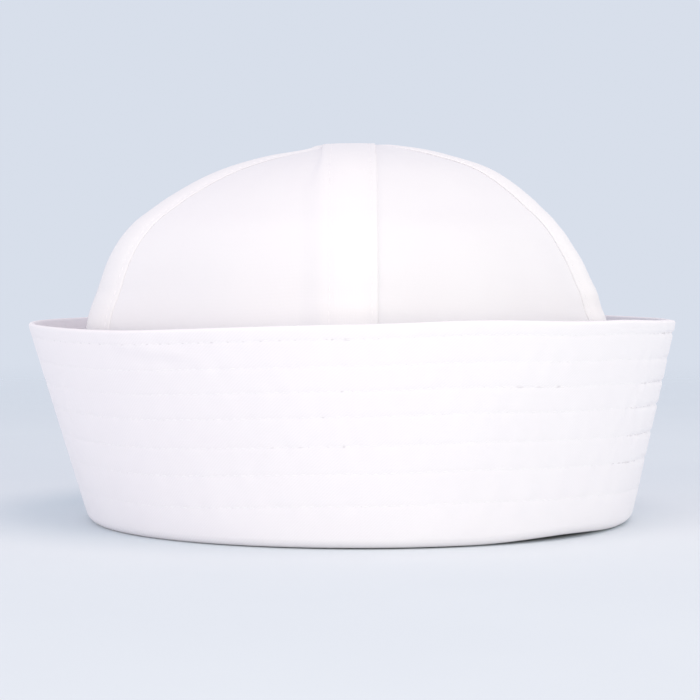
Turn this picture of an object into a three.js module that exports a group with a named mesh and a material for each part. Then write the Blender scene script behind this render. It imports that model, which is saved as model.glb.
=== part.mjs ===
// A white cotton sailor cap: a domed crown sewn from six gores and a stiff stitched brim turned up all round.
// Millimetres, +Z up. The cap stands on the fold of its brim, and its front faces -Y.
// Left and right are as seen from the front, so right is +X.
import * as THREE from 'three';

// Driving sizes
const HEAD = { halfWidth: 85.5, halfDepth: 96.5 };  // inside of the head opening
const HEAD_SHIFT = 3.2;  // the opening's centre lies this far in x from the crown's axis
const CLOTH = 1.0;  // one layer of crown cloth
const PLY_GAP = 0.3;  // air between two layers that lie on each other
const LAP = { half: 8.25, clear: 0.6, step: 2.2 };  // lapped seam: half its width, then the step beside it
const BUTT_GAP = 0.3;  // between gore tips at the top, where the laps have ended

// Brim: a stitched wall that folds under the crown's edge and ends in a short leg inside it
const BRIM = { thickness: 1.8, legThickness: 1.2, legHeight: 10, outerAtFloor: 5.4, rimRound: 0.5 };
const FLARE = { mean: 14.6, lean: 2.4 };  // degrees from vertical: more on the -X side, less on +X
const FOLD = { radius: 4.5, flattened: 0.3, toe: 0.6 };
const QUILT = 0.15;  // how far the cloth swells between two stitch rows
const STITCH_ROWS = [4.2, 12.5, 20.3, 28.3, 37.5, 46.3, 56.5];  // down the wall from the rim

// Height of the rim and lift of the fold off the floor, round the cap. Angles run from the front towards +X.
const ROUND = [
  { angle: -90, rim: 65.7, lift: 0.0 },
  { angle: -45, rim: 65.2, lift: 0.1 },
  { angle: 0, rim: 68.1, lift: 0.1 },
  { angle: 22, rim: 68.8, lift: 0.3 },
  { angle: 45, rim: 68.3, lift: 1.4 },
  { angle: 68, rim: 67.2, lift: 0.4 },
  { angle: 90, rim: 66.4, lift: 0.0 },
  { angle: 180, rim: 66.2, lift: 0.0 },
];

// Crown sections, bottom to top: half sizes from a centre shifted in x, to the outer face of one layer.
// flat is how far the section goes from an oval (0) to a hexagon with its corners at the seams (1).
// lap is the share of the lap's half width at the side seams, lift the share of the upper layer's rise there,
// and fold the share of the brim fold's own lift.
const CROWN = [
  { height: 3.4, shift: 3.2, left: 88.1, right: 88.1, depth: 99.1, flat: 0.0, lap: 1, lift: 1, fold: 1 },
  { height: 11, shift: 3.2, left: 88.1, right: 88.1, depth: 99.1, flat: 0.0, lap: 1, lift: 1, fold: 1 },
  { height: 28, shift: 2.0, left: 88.0, right: 87.9, depth: 99.2, flat: 0.2, lap: 1, lift: 1, fold: 0 },
  { height: 48, shift: 0.8, left: 88.3, right: 86.3, depth: 98.8, flat: 0.35, lap: 1, lift: 1, fold: 0 },
  { height: 66.7, shift: 0, left: 88.2, right: 82.9, depth: 98.0, flat: 0.5, lap: 1, lift: 1, fold: 0 },
  { height: 77.5, shift: 0, left: 84.7, right: 79.9, depth: 93.6, flat: 0.5, lap: 1, lift: 1, fold: 0 },
  { height: 88.3, shift: 0, left: 80.9, right: 75.1, depth: 88.5, flat: 0.5, lap: 1, lift: 1, fold: 0 },
  { height: 97, shift: 0, left: 75.3, right: 69.3, depth: 82.0, flat: 0.45, lap: 1, lift: 1, fold: 0 },
  { height: 104.5, shift: 0, left: 65.5, right: 61.5, depth: 72.4, flat: 0.45, lap: 1, lift: 1, fold: 0 },
  { height: 110, shift: 0, left: 56.8, right: 54.7, depth: 63.6, flat: 0.4, lap: 1, lift: 1, fold: 0 },
  { height: 115.3, shift: 0, left: 47.1, right: 45.6, depth: 53.4, flat: 0.4, lap: 1, lift: 1, fold: 0 },
  { height: 119.3, shift: 0, left: 37.1, right: 33.4, depth: 42.0, flat: 0.35, lap: 1, lift: 1, fold: 0 },
  { height: 122, shift: 0, left: 25.5, right: 24.0, depth: 30.6, flat: 0.3, lap: 1, lift: 1, fold: 0 },
  { height: 123.3, shift: 0, left: 14.8, right: 18.4, depth: 22.8, flat: 0.2, lap: 0.6, lift: 1, fold: 0 },
  { height: 124.1, shift: 0, left: 12.0, right: 15.0, depth: 16.2, flat: 0.1, lap: 0, lift: 1, fold: 0 },
  { height: 124.5, shift: 0, left: 10.9, right: 12.5, depth: 11.9, flat: 0.0, lap: 0, lift: 0, fold: 0 },
];

// Sections of the tips that run to the middle of the top, under the middle seam's strip.
const TIPS = [
  { height: 124.65, shift: 0, left: 9.5, right: 9.5, depth: 9.5, flat: 0, lap: 0, lift: 0, fold: 0 },
  { height: 124.9, shift: 0, left: 0.6, right: 0.6, depth: 0.6, flat: 0, lap: 0, lift: 0, fold: 0 },
];

// The six gores, each between two seams. over names the edges that lie on top in their lapped seam.
// The middle seam runs from the front over the top to the back, and the side seams aren't quite even.
const SEAM = { frontRight: 72, backRight: 121, backLeft: 242, frontLeft: 299 };
const GORES = [
  { name: 'crown_gore_front_right', from: 0, to: SEAM.frontRight, over: [] },
  { name: 'crown_gore_right', from: SEAM.frontRight, to: SEAM.backRight, over: ['from', 'to'] },
  { name: 'crown_gore_back_right', from: SEAM.backRight, to: 180, over: [] },
  { name: 'crown_gore_back_left', from: 180, to: SEAM.backLeft, over: ['from'] },
  { name: 'crown_gore_left', from: SEAM.backLeft, to: SEAM.frontLeft, over: ['from', 'to'] },
  { name: 'crown_gore_front_left', from: SEAM.frontLeft, to: 360, over: ['to'] },
];
const GORE_INNER_COLUMNS = 6;
const BRIM_SEGMENTS = 64;

// Shares of a gore's turn that the columns beside its seams may take
const ROOM = { plain: 0.45, strip: 0.8, besideStrip: 0.15, besideStripLap: 0.3 };
// Places across the strip, in half widths, where it leaves its gore: the gore's columns crowd up to the first
const STRIP_PLACES = { crowd: -0.7, shoulder: -0.5 };

const radians = THREE.MathUtils.degToRad;
const degrees = THREE.MathUtils.radToDeg;
const smooth = (t) => t * t * (3 - 2 * t);

// A column of the ROUND table at any angle, eased between its rows.
function roundTheCap(column, angle) {
  const turned = THREE.MathUtils.euclideanModulo(angle + 90, 360) - 90;
  const after = ROUND.findIndex((row) => row.angle > turned);
  const low = ROUND[after < 0 ? ROUND.length - 1 : after - 1];
  const high = after < 0 ? { ...ROUND[0], angle: ROUND[0].angle + 360 } : ROUND[after];
  const share = smooth((turned - low.angle) / (high.angle - low.angle));
  return THREE.MathUtils.lerp(low[column], high[column], share);
}

// The head opening's oval, and its outward direction, at an angle from the front.
function headOval(angle) {
  const s = Math.sin(radians(angle));
  const c = Math.cos(radians(angle));
  const point = new THREE.Vector2(HEAD.halfWidth * s + HEAD_SHIFT, -HEAD.halfDepth * c);
  const outward = new THREE.Vector2(s / HEAD.halfWidth, -c / HEAD.halfDepth).normalize();
  return { point, outward };
}

// Closed surface through rings of points, each ring closed, the last ring joined to the first.
function loftedRing(rings) {
  const positions = rings.flat().flatMap((p) => [p.x, p.y, p.z]);
  const around = rings.length;
  const along = rings[0].length;
  const index = [];
  for (let i = 0; i < around; i++) {
    for (let j = 0; j < along; j++) {
      const a = i * along + j;
      const b = i * along + ((j + 1) % along);
      const c = ((i + 1) % around) * along + j;
      const d = ((i + 1) % around) * along + ((j + 1) % along);
      index.push(a, b, c, b, d, c);
    }
  }
  return closedGeometry(positions, index);
}

// Closed sheet between two grids of points, outer and inner, with walls along its four edges.
function thickSheet(outer, inner) {
  const rows = outer.length;
  const columns = outer[0].length;
  const positions = [...outer.flat(), ...inner.flat()].flatMap((p) => [p.x, p.y, p.z]);
  const out = (i, j) => i * columns + j;
  const inn = (i, j) => rows * columns + i * columns + j;
  const index = [];
  const quad = (a, b, c, d) => index.push(a, b, c, a, c, d);
  for (let i = 0; i < rows - 1; i++) {
    for (let j = 0; j < columns - 1; j++) {
      quad(out(i, j), out(i, j + 1), out(i + 1, j + 1), out(i + 1, j));
      quad(inn(i, j), inn(i + 1, j), inn(i + 1, j + 1), inn(i, j + 1));
    }
    quad(inn(i, 0), out(i, 0), out(i + 1, 0), inn(i + 1, 0));
    quad(out(i, columns - 1), inn(i, columns - 1), inn(i + 1, columns - 1), out(i + 1, columns - 1));
  }
  for (let j = 0; j < columns - 1; j++) {
    quad(inn(0, j), inn(0, j + 1), out(0, j + 1), out(0, j));
    quad(out(rows - 1, j), out(rows - 1, j + 1), inn(rows - 1, j + 1), inn(rows - 1, j));
  }
  return closedGeometry(positions, index);
}

function closedGeometry(positions, index) {
  const geometry = new THREE.BufferGeometry();
  geometry.setAttribute('position', new THREE.Float32BufferAttribute(positions, 3));
  geometry.setIndex(index);
  geometry.computeVertexNormals();
  return geometry;
}

// The brim's section at an angle: a closed loop of (outward, up) points, measured from the head opening.
function brimSection(angle) {
  const flare = radians(FLARE.mean - FLARE.lean * Math.sin(radians(angle)));
  const lift = roundTheCap('lift', angle);
  const up = new THREE.Vector2(Math.sin(flare), Math.cos(flare));
  const outward = new THREE.Vector2(Math.cos(flare), -Math.sin(flare));
  const rimHeight = roundTheCap('rim', angle);
  const rim = new THREE.Vector2(BRIM.outerAtFloor + rimHeight * Math.tan(flare), rimHeight);
  const onWall = (down, depth) => rim.clone().addScaledVector(up, -down).addScaledVector(outward, -depth);

  const foldHeight = FOLD.radius - FOLD.flattened + lift;
  const wallStart = foldHeight - FOLD.radius * Math.sin(flare);
  const foldCentre = new THREE.Vector2(
    BRIM.outerAtFloor + wallStart * Math.tan(flare) - FOLD.radius * Math.cos(flare), foldHeight);
  const onFold = (turn, radius) => new THREE.Vector2(
    foldCentre.x + radius * Math.cos(turn), foldCentre.y - radius * Math.sin(turn));
  const floorTurn = Math.asin(1 - FOLD.flattened / FOLD.radius);
  const turns = (last) => [0, 0.33, 0.67, 1].map((share) => THREE.MathUtils.lerp(flare, last, share));
  const wallLength = (rimHeight - wallStart) / Math.cos(flare);

  // Outer face from the rim down: a groove at each stitch row and a swell between two rows
  const stops = [...STITCH_ROWS, wallLength];
  const outerFace = STITCH_ROWS.flatMap((down, row) => [
    onWall(down, 0), onWall((down + stops[row + 1]) / 2, -QUILT)]);
  const innerFace = [0.5, 0.2].map((share) => onWall(wallLength * share, BRIM.thickness));
  const legTop = BRIM.legHeight + lift;

  return [
    onWall(0, BRIM.thickness - BRIM.rimRound),
    onWall(0, BRIM.rimRound),
    onWall(BRIM.rimRound, 0),
    ...outerFace,
    ...turns(floorTurn).map((turn) => onFold(turn, FOLD.radius)),
    new THREE.Vector2(FOLD.toe, lift),
    new THREE.Vector2(0, FOLD.toe + lift),
    new THREE.Vector2(0, legTop),
    new THREE.Vector2(BRIM.legThickness, legTop),
    new THREE.Vector2(BRIM.legThickness, foldCentre.y - FOLD.radius + BRIM.thickness),
    ...turns(Math.PI / 2).reverse().map((turn) => onFold(turn, FOLD.radius - BRIM.thickness)),
    ...innerFace,
    onWall(BRIM.rimRound, BRIM.thickness),
  ];
}

function brimGeometry() {
  const rings = [];
  for (let i = 0; i < BRIM_SEGMENTS; i++) {
    const angle = (360 * i) / BRIM_SEGMENTS;
    const { point, outward } = headOval(angle);
    rings.push(brimSection(angle).map((s) => {
      const plan = point.clone().addScaledVector(outward, s.x);
      return new THREE.Vector3(plan.x, plan.y, s.y);
    }));
  }
  return loftedRing(rings);
}

// How far a hexagon with corners at the seams lies from the middle, against its corners.
function hexagon(angle) {
  const turned = THREE.MathUtils.euclideanModulo(angle, 360);
  const gore = GORES.find(({ to }) => turned <= to);
  const half = (gore.to - gore.from) / 2;
  return Math.cos(radians(half)) / Math.cos(radians(turned - gore.from - half));
}

// A point of the crown's outer face, one layer thick, on a section and at an angle from the front.
function crownPoint(section, angle) {
  const s = Math.sin(radians(angle));
  const c = Math.cos(radians(angle));
  const reach = 1 - section.flat * (1 - hexagon(angle));
  const sideReach = 1 - section.flat * (1 - hexagon(s < 0 ? 270 : 90));
  const width = s < 0 ? section.left : section.right;
  return new THREE.Vector3(
    section.shift + (width * reach * s) / sideReach,
    -section.depth * reach * c,
    section.height + section.fold * roundTheCap('lift', angle));
}

// The crown's outward direction there.
function crownNormal(sections, level, angle) {
  const turn = 1.5;
  const below = crownPoint(sections[Math.max(level - 1, 0)], angle);
  const above = crownPoint(sections[Math.min(level + 1, sections.length - 1)], angle);
  const before = crownPoint(sections[level], angle - turn);
  const after = crownPoint(sections[level], angle + turn);
  return after.sub(before).cross(above.sub(below)).normalize();
}

const isMiddle = (seam) => seam % 180 === 0;

// Angle of a line that runs beside a seam at a distance. Beside the middle seam that line stays straight.
function angleBeside(section, seam, distance) {
  if (isMiddle(seam)) {
    const along = Math.cos(radians(seam));
    const width = distance * along < 0 ? section.left : section.right;
    return seam + degrees(Math.asin(THREE.MathUtils.clamp(distance / width, -1, 1)));
  }
  const turn = 2;
  const span = crownPoint(section, seam - turn).distanceTo(crownPoint(section, seam + turn));
  return seam + (distance * 2 * turn) / span;
}

// Four columns beside one of a gore's seams, from its edge inwards, each with its angle and the layer's rise.
// They keep within a share of the gore, so that both sides have room where it narrows.
function edgeColumns(section, gore, side, share) {
  const seam = gore[side];
  const over = gore.over.includes(side);
  const strip = over && isMiddle(seam);
  const lapShare = strip ? 1 : section.lap;
  const rise = over ? (strip ? 1 : section.lift) * (CLOTH + PLY_GAP) : 0;
  const lap = lapShare > 0 ? LAP.half * lapShare : -BUTT_GAP / 2;
  const shoulder = Math.max(lap, 0) + LAP.clear;
  const inwards = side === 'from' ? 1 : -1;
  const turnTo = (distance) => inwards * (angleBeside(section, seam, inwards * distance) - seam);
  const edge = turnTo(-lap);
  const foot = turnTo(shoulder + LAP.step);
  const squeeze = Math.min(1, (share * (gore.to - gore.from)) / foot);
  const top = turnTo(shoulder) * squeeze;
  const column = (turn, height) => ({ angle: seam + inwards * turn, rise: height });
  return [column(edge, rise), column((edge + top) / 2, rise), column(top, rise), column(foot * squeeze, 0)];
}

const stripSide = (gore) => ['from', 'to'].find((side) => gore.over.includes(side) && isMiddle(gore[side]));

// Columns of a gore across one section. A gore that carries the middle strip keeps most of its room for it.
function goreColumns(section, gore) {
  const strip = stripSide(gore);
  const beside = ROOM.besideStrip + ROOM.besideStripLap * section.lap;
  const share = (side) => (!strip ? ROOM.plain : side === strip ? ROOM.strip : beside);
  const first = edgeColumns(section, gore, 'from', share('from'));
  const last = edgeColumns(section, gore, 'to', share('to')).reverse();
  const between = [];
  for (let k = 1; k < GORE_INNER_COLUMNS; k++) {
    const angle = THREE.MathUtils.lerp(first[3].angle, last[0].angle, k / GORE_INNER_COLUMNS);
    between.push({ angle, rise: 0 });
  }
  return [...first, ...between, ...last];
}

// The strip's last two rows: across the top, where it leaves its gore, and along the middle of the top.
function stripRows(gore, columns) {
  const side = stripSide(gore);
  const towards = -Math.cos(radians(gore[side]));
  const crowded = columns - 3;
  const places = [];
  for (let k = 0; k < crowded; k++) {
    places.push(THREE.MathUtils.lerp(-1, STRIP_PLACES.crowd, k / (crowded - 1)));
  }
  places.push(STRIP_PLACES.shoulder, 0, 1);
  if (side === 'from') places.reverse();
  const [start, end] = TIPS;
  return [
    places.map((place) => {
      const x = place * LAP.half;
      return new THREE.Vector3(x, towards * Math.sqrt(start.depth ** 2 - x ** 2), start.height);
    }),
    places.map((place) => new THREE.Vector3(place * LAP.half, (towards * BUTT_GAP) / 2, end.height)),
  ];
}

function goreGeometry(gore) {
  const strip = stripSide(gore);
  const sections = strip ? CROWN : [...CROWN, ...TIPS];
  const outer = [];
  const inner = [];
  sections.forEach((section, level) => {
    const columns = goreColumns(section, gore);
    const face = (depth) => columns.map(({ angle, rise }) =>
      crownPoint(section, angle).addScaledVector(crownNormal(sections, level, angle), rise - depth));
    outer.push(face(0));
    inner.push(face(CLOTH));
  });
  if (strip) {
    const up = new THREE.Vector3(0, 0, 1);
    for (const row of stripRows(gore, outer[0].length)) {
      outer.push(row.map((p) => p.clone().addScaledVector(up, CLOTH + PLY_GAP)));
      inner.push(row.map((p) => p.clone().addScaledVector(up, PLY_GAP)));
    }
  }
  return thickSheet(outer, inner);
}

const twill = new THREE.MeshStandardMaterial({ color: 0xf4f2f5, roughness: 0.9, metalness: 0 });
const crownCloth = new THREE.MeshStandardMaterial({ color: 0xf3eff3, roughness: 0.92, metalness: 0 });

const cap = new THREE.Group();

const brim = new THREE.Mesh(brimGeometry(), twill);
brim.name = 'brim';
cap.add(brim);

for (const gore of GORES) {
  const mesh = new THREE.Mesh(goreGeometry(gore), crownCloth);
  mesh.name = gore.name;
  cap.add(mesh);
}

// The origin is under the middle of the cap, on the surface that it stands on.
const middle = new THREE.Box3().setFromObject(cap).getCenter(new THREE.Vector3());
cap.position.set(-middle.x, -middle.y, 0);

const part = new THREE.Group();
part.add(cap);
export default part;
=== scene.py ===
# A white cotton sailor cap: a stiff stitched brim, turned up all round, and a crown sewn from six gores.
# Shapes are worked out in millimetres, as the part's own sizes are, and become metres when a mesh is made.
# Angles run round the cap in degrees, from the front (-Y) towards the right (+X).
import math
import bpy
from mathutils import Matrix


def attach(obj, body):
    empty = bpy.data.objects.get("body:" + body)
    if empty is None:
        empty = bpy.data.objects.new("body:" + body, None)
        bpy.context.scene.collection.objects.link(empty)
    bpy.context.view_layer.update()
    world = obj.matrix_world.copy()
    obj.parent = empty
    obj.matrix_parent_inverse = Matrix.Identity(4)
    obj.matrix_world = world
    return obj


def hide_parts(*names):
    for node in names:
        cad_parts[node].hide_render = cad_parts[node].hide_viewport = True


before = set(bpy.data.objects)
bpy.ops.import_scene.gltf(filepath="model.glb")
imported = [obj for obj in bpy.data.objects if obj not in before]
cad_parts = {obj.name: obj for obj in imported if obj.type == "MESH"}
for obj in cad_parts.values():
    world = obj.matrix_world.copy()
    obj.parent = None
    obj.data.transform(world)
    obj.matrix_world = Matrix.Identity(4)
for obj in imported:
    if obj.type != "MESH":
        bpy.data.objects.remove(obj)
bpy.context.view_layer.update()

from types import SimpleNamespace as Values

import bpy
import numpy as np
from mathutils import Vector

MM = 0.001
BODY = "root"

# Sizes of the cap
HEAD_HALF_WIDTH = 85.5
HEAD_HALF_DEPTH = 96.5
HEAD_SHIFT = 3.2
CLOTH = 0.55
PLY_GAP = 0.02
LAP_HALF = 8.25
LAP_CLEAR = 0.6
LAP_STEP = 3.4
FAR_FROM_SEAM = LAP_HALF + 5 * LAP_STEP
SHOULDER_LIMIT = 0.95
BUTT_GAP = 0.06
PRESSED = Values(middle=0.45, side=1.6, soft=5.0, least=0.2, least_soft=0.05)

# The strip along the middle seam. left, crowd and shoulder are places on the top, in half laps.
STRIP = Values(
    step=7.0, steep=(106, 121), steep_share=0.12, butt_gap=0.01, dome=0.19,
    left=-1.12, crowd=-1.09, shoulder=-1.07)

# The top of the crown stands a little higher from the strip on
TOP = Values(raised=0.58, heights=(108, 124), from_left=(-2.6 * LAP_HALF, -0.9 * LAP_HALF))

BRIM_THICKNESS = 1.8
LEG_THICKNESS = 1.2
LEG_HEIGHT = 10
LEG_STARTS = 0.15
OUTER_AT_FLOOR = 5.4
RIM_ROUND = 0.75
FLARE_MEAN = 14.6
FLARE_LEAN = 2.4
FOLD_RADIUS = 4.5
FOLD_FLATTENED = 0.3
FOLD_TOE = 0.6
QUILT = 0.08
QUILT_FLATNESS = 3
STITCH_ROWS = (4.2, 12.5, 20.3, 28.3, 37.5, 46.3, 56.5)

# Height of the rim and lift of the fold off the floor, round the cap
ROUND_COLUMNS = ("angle", "rim", "lift")
ROUND = np.array([
    (-90, 65.7, 0),
    (-45, 65.2, 0.15),
    (0, 68.1, 0.4),
    (22, 68.8, 0.4),
    (45, 68.3, 1.4),
    (68, 67.2, 0.4),
    (90, 66.4, 0),
    (180, 66.2, 0),
    (270, 65.7, 0),
])

# Crown sections, bottom to top, to the outer face of one layer of cloth
CROWN_COLUMNS = ("height", "shift", "left", "right", "depth", "flat", "lap", "lift", "fold")
CROWN = np.array([
    (3.4, 3.2, 88.1, 88.1, 99.1, 0, 1, 1, 1),
    (11.0, 3.2, 88.1, 88.1, 99.1, 0, 1, 1, 1),
    (28.0, 2.0, 88.0, 87.9, 99.2, 0.20, 1, 1, 0),
    (48.0, 0.8, 88.3, 86.3, 98.8, 0.35, 1, 1, 0),
    (66.7, 0, 88.2, 82.9, 98.0, 0.50, 1, 1, 0),
    (77.5, 0, 84.7, 79.9, 93.6, 0.50, 1, 1, 0),
    (88.3, 0, 80.9, 75.1, 88.5, 0.50, 1, 1, 0),
    (97.0, 0, 75.3, 69.3, 82.0, 0.45, 1, 1, 0),
    (104.5, 0, 65.5, 61.5, 72.4, 0.45, 1, 1, 0),
    (110.0, 0, 56.8, 54.7, 63.6, 0.40, 1, 1, 0),
    (115.3, 0, 47.1, 45.6, 53.4, 0.40, 1, 1, 0),
    (119.3, 0, 37.1, 33.4, 42.0, 0.35, 1, 1, 0),
    (122.0, 0, 25.5, 24.0, 30.6, 0.30, 0.9, 1, 0),
    (123.3, 0, 14.8, 18.4, 22.8, 0.20, 0.7, 1, 0),
    (124.1, 0, 12.6, 15.0, 16.2, 0.10, 0.5, 1, 0),
    (124.5, 0, 11.6, 12.5, 11.9, 0, 0.4, 1, 0),
])
TIPS = np.array([
    (124.65, 0, 9.5, 9.5, 9.5, 0, 0.3, 1, 0),
    (124.90, 0, 0.6, 0.6, 0.6, 0, 0, 0, 0),
])
STEPPED_COLUMNS = ("lap", "lift", "fold")

# The six gores, each between two seams. over names the edges that lie on top in their lapped seam.
SEAM = Values(front_right=72, back_right=121, back_left=242, front_left=299)
GORES = (
    Values(name="front_right", start=0, end=SEAM.front_right, over=()),
    Values(name="right", start=SEAM.front_right, end=SEAM.back_right, over=("start", "end")),
    Values(name="back_right", start=SEAM.back_right, end=180, over=()),
    Values(name="back_left", start=180, end=SEAM.back_left, over=("start",)),
    Values(name="left", start=SEAM.back_left, end=SEAM.front_left, over=("start", "end")),
    Values(name="front_left", start=SEAM.front_left, end=360, over=("end",)),
)

# ROOM gives shares of a gore's turn that the columns beside a seam may take. CORNER rounds off the hexagon.
GORE_INNER_COLUMNS = 6
ROOM = Values(plain=0.45, strip=0.8, beside_strip=0.15, beside_strip_lap=0.3)
CORNER = Values(reach=4, samples=9)

# Fineness of the meshes
BRIM_SEGMENTS = 480
PATH_SEGMENTS = 4 * BRIM_SEGMENTS
SECTION_STEPS = Values(rim=8, fold=10, toe=4, leg_end=6, leg=5, channel=8)
OUTER_STATIONS = 12
INNER_STATIONS = 6
ROW_STEP = 1.2
EDGE_SHARES = (0, 0.008, 0.025, 0.06)
FINE_EDGE_STEPS = 12
PLAIN_EDGE_STEPS = 4
SHOULDER_STEPS = 6
INNER_STEPS = 5
STRIP_TOP_STEPS = 8

# Stitches
STITCH_PITCH = 2.7
STITCH_SHOWN = 0.86
STITCH_ARCH = 0.13
STITCH_SINK = 0.17
STITCH_JITTER = 0.10
STITCH_RINGS = 5
STITCH_SIDES = 6
THREAD_RADIUS = 0.16
THREAD_SHARE = Values(end=0.7, swell=0.3)
SEAM_STITCH = Values(inset=2.0, lowest=12, least_lap=0.5)

# Painted shade of the needle holes along the brim's rows, drawn as small dark marks. Those of the first row
# are larger, at the left of the front above all.
MARK_SIDES = 8
MARK_STANDS = 0.03
MARK_LIFT = 0.01
MARK_OUT = 1.0
MARK_AHEAD = 0.2
MARK_JITTER = 0.2
MARK_RARITY = 3
NEEDLE_HOLE_SHADE = Values(pitch=STITCH_PITCH, least=0.08, spread=0.11, length=2.6, width=2.0, tone=0.7)
FIRST_ROW_HOLE_SHADE = Values(
    pitch=4.1, least=0.33, spread=0.16, length=4.4, width=1.6, tone=0.5,
    large=(-85, -65, -4, 6), elsewhere=0.4)

# Painted shade of the pulled stitches that the photo shows, as dark marks: angle, row, length, width, and
# tilt on the cloth
STITCH_PULL_SHADE = 0.5
STITCH_PULL_SHADOWS = (
    (-4.5, 0, 2.2, 1.9, 0),
    (-2.2, 0, 3.0, 1.7, 0),
    (-3.1, 2, 1.7, 1.2, 10),
    (-6.3, 3, 1.5, 1.0, 0),
    (-15.2, 4, 1.9, 0.5, 0),
    (-10.1, 4, 2.9, 0.7, 5),
    (-5.6, 4, 1.2, 1.7, 0),
    (-2.9, 4, 1.3, 1.6, -15),
    (27.1, 2, 4.6, 2.1, -20),
    (31.0, 2, 4.6, 0.7, 0),
    (35.0, 2, 2.9, 2.0, 25),
)

# Painted shade of the creases along the rows at the right end, made of short dark marks: row, and the angles
# of the two ends
CREASE_SHADE_MARK = Values(turn=2.4, length=6.0, width=0.8, tone=0.65)
CREASE_SHADE_ROWS = (
    (0, 61, 84),
    (2, 62, 80),
    (3, 57, 75),
    (4, 60, 75),
    (5, 56, 69),
)

# Relief of the cloth. Four limits say where something begins, is full, fades and ends.
RIGHT_SIDE = (58, 74, 105, 135)
ROW_PULLS = (1.0, 0.4, 0.9, 1.0, 0.9, 0.5, 0.15)
ROW_GROOVE = Values(front=0.025, loose=0.08, loose_from=(45, 80), side=0.55, width=0.6)
ROW_PUCKER = Values(height=0.07, width=3.2, right_gain=0.4)
RIM_WAVE = 0.35
CALM_AT_FOLD = 0.12
LEFT_CREASE = Values(
    start=-45.0, end=-25.0, shares=(0, 0.25, 0.7, 1), down_start=3.8, down_end=8.6,
    height=0.28, width=2.0, hollow=0.6, hollow_below=1.8)
CROWN_WAVE = Values(height=0.45, lengths=(38.0, 75.0), count=14, begins=(14, 50))
SEAM_GROOVE = Values(depth=0.10, width=0.7, laps=(0.3, 0.6))
SEAM_PUCKER = Values(height=0.10, heights=(14, 40, 92, 114), reach=13.0, lengths=(7.0, 12.0), count=9)
VALLEY = Values(seam=SEAM.front_right, depth=1.1, reach=9.0, under_lap=4.0, heights=(46, 58, 80, 104))

# Tone of the crown's doubled cloth across a lap
DOUBLED = Values(
    under_fade=1.5, over_fade=1, past_lap=2.2, edge=0.4, edge_reach=5, laps=(0, 0.6), on_strip=0.45)

RANDOM = np.random.default_rng(11)


def smooth(share):
    return share * share * (3 - 2 * share)


def ramp(low, high, value):
    return smooth(np.clip((value - low) / (high - low), 0, 1))


def rise_and_fall(limits, value):
    """A ramp up and down again: 0 before the first limit and after the last, 1 between the middle two."""
    begins, full, fades, ends = limits
    return ramp(begins, full, value) * (1 - ramp(fades, ends, value))


def from_front(angle):
    """An angle as a turn from the front, negative to the left."""
    return np.mod(angle + 180, 360) - 180


def sine(angle):
    return np.sin(np.radians(angle))


def cosine(angle):
    return np.cos(np.radians(angle))


def unit(vectors):
    return vectors / np.linalg.norm(vectors, axis=-1, keepdims=True)


def round_the_cap(column, angle):
    """A column of the ROUND table at any angle, eased between its rows."""
    angles = ROUND[:, 0]
    values = ROUND[:, ROUND_COLUMNS.index(column)]
    turned = np.mod(np.asarray(angle, float) + 90, 360) - 90
    after = np.clip(np.searchsorted(angles, turned, side="right"), 1, len(angles) - 1)
    share = smooth((turned - angles[after - 1]) / (angles[after] - angles[after - 1]))
    return values[after - 1] + share * (values[after] - values[after - 1])


def waves(count, lowest, highest):
    """Random turns and phases for a smooth wave round the cap."""
    return RANDOM.integers(lowest, highest + 1, count), RANDOM.uniform(0, 2 * math.pi, count)


def wave_round(wave, angle):
    turns, phases = wave
    total = np.cos(np.radians(angle)[..., None] * turns + phases).sum(axis=-1)
    return total * math.sqrt(2 / len(turns))


# Brim

def brim_lines(angle):
    """The rim, wall and fold of the brim at an angle, measured out from the head opening and up."""
    flare = np.radians(FLARE_MEAN - FLARE_LEAN * sine(angle))
    lift = round_the_cap("lift", angle)
    rim_up = round_the_cap("rim", angle)
    fold_up = FOLD_RADIUS - FOLD_FLATTENED + lift
    wall_start = fold_up - FOLD_RADIUS * np.sin(flare)
    return Values(
        angle=angle,
        flare=flare,
        lift=lift,
        rim_out=OUTER_AT_FLOOR + rim_up * np.tan(flare),
        rim_up=rim_up,
        fold_out=OUTER_AT_FLOOR + wall_start * np.tan(flare) - FOLD_RADIUS * np.cos(flare),
        fold_up=fold_up,
        wall_length=(rim_up - wall_start) / np.cos(flare))


def round_the_head(angle, out, up):
    """A point by its angle, its distance out from the head opening, and its height."""
    direction = unit(np.stack([sine(angle) / HEAD_HALF_WIDTH, -cosine(angle) / HEAD_HALF_DEPTH], axis=-1))
    x = HEAD_HALF_WIDTH * sine(angle) + HEAD_SHIFT + direction[..., 0] * out
    y = -HEAD_HALF_DEPTH * cosine(angle) + direction[..., 1] * out
    return np.stack([x, y, up], axis=-1)


def on_wall(lines, down, depth):
    """Out and up of a point of the wall: down from the rim, and in from its outer face."""
    out = lines.rim_out - down * np.sin(lines.flare) - depth * np.cos(lines.flare)
    up = lines.rim_up - down * np.cos(lines.flare) + depth * np.sin(lines.flare)
    return out, up


def on_fold(lines, turn, radius):
    return lines.fold_out + radius * np.cos(turn), lines.fold_up - radius * np.sin(turn)


ROW_WAVES = [waves(count=14, lowest=45, highest=95) for row in STITCH_ROWS]
GROOVE_WAVES = [waves(count=8, lowest=4, highest=16) for row in STITCH_ROWS]
RIM_WAVES = waves(count=7, lowest=3, highest=11)


def right_side(angle):
    """1 at the right side of the brim, where the rows are pulled tight, and 0 away from it."""
    return rise_and_fall(RIGHT_SIDE, np.mod(angle, 360))


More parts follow.
